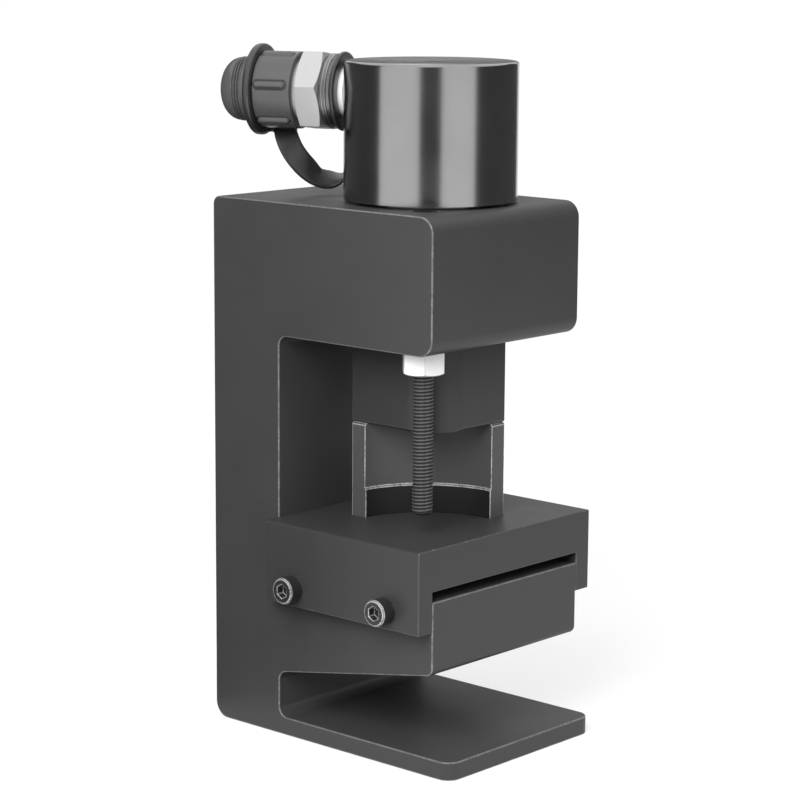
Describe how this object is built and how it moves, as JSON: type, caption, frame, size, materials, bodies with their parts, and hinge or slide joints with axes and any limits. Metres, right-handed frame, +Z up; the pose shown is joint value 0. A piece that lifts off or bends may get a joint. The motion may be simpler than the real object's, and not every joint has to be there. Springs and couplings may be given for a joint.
{
  "type": "hydraulic angle iron cutter",
  "caption": "Hydraulic angle iron cutter: C-shaped steel frame with top cylinder, corner punch, slotted stripper saddle, die, hold-down screw and capped hose coupler.",
  "frame": {"origin": "on the ram axis at the underside of the foot plate", "axes": "+Z up along the ram axis, -Y towards the open front of the frame, +X to the right seen from the front"},
  "size_m": [0.144, 0.1637, 0.3389],
  "materials": {
    "frame_black": "black oxide on machined steel, satin, edges worn bright",
    "saddle_black": "black oxide on ground steel, satin",
    "ram_black": "black oxide on machined steel, satin",
    "punch_steel": "blackened tool steel with worn edges",
    "tool_steel": "ground tool steel, blackened",
    "barrel_black": "glossy black finish over turned steel",
    "screw_black": "black oxide fasteners with bright rims",
    "zinc_plate": "bright zinc plate",
    "bright_steel": "bright turned steel",
    "chrome_rod": "hard chrome, ground",
    "spring_steel": "oiled spring steel",
    "bronze": "turned bronze",
    "black_plastic": "moulded black plastic, satin",
    "black_rubber": "black rubber",
    "blue_seal": "polyurethane seal",
    "guide_band": "bronze-filled guide band"
  },
  "bodies": {
    "machine": {"frame": "frame_black", "die": "tool_steel", "die_screws": "screw_black", "saddle": "saddle_black", "saddle_screws": "screw_black", "barrel": "barrel_black", "rod_bush": "bronze", "rod_wiper": "black_rubber", "port_seal": "zinc_plate", "port_adapter": "zinc_plate", "coupler_body": "zinc_plate", "return_spring": "spring_steel", "cap_strap": "black_rubber"},
    "ram": {"piston_rod": "chrome_rod", "piston": "bright_steel", "piston_screw": "screw_black", "piston_seal": "blue_seal", "wear_ring": "guide_band", "ram_head": "ram_black", "head_screw": "screw_black", "head_dowel": "bright_steel", "punch": "punch_steel", "punch_screws": "screw_black", "punch_dowels": "bright_steel"},
    "hold_down": {"hold_down_screw": "screw_black"},
    "hold_down_nut": {"lock_nut": "zinc_plate"},
    "valve": {"coupler_valve": "bright_steel", "valve_spring": "bright_steel"},
    "cap_loop": {"strap_ring": "black_rubber"},
    "cap": {"dust_cap": "black_plastic", "cap_seal": "black_rubber"}
  },
  "joints": [
    {"name": "ram_stroke", "type": "slide", "parent": "machine", "child": "ram", "axis": [0, 0, -1], "range_m": [0, 0.018], "stiffness_N_per_m": 5000, "springref_m": -0.03, "deforming": ["return_spring"]},
    {"name": "hold_down_travel", "type": "slide", "parent": "machine", "child": "hold_down", "axis": [0, 0, -1], "range_m": [0, 0.0095]},
    {"name": "lock_nut_travel", "type": "slide", "parent": "hold_down", "child": "hold_down_nut", "axis": [0, 0, -1], "range_m": [0, 0.055]},
    {"name": "valve_travel", "type": "slide", "parent": "machine", "child": "valve", "axis": [0.3827, -0.9239, 0], "range_m": [0, 0.004], "stiffness_N_per_m": 400, "springref_m": -0.004},
    {"name": "cap_lift", "type": "slide", "parent": "machine", "child": "cap_loop", "axis": [-0.3827, 0.9239, 0], "range_m": [0, 0.00801]},
    {"name": "cap_turn", "type": "hinge", "parent": "cap_loop", "child": "cap", "pos_m": [-0.02679, 0.06467, 0.3167], "axis": [-0.3827, 0.9239, 0], "range_deg": [0, 1440]}
  ],
  "couplings": [
    {"joint": "cap_lift", "follows": "cap_turn", "m_per_rad": 0.00031831}
  ]
}
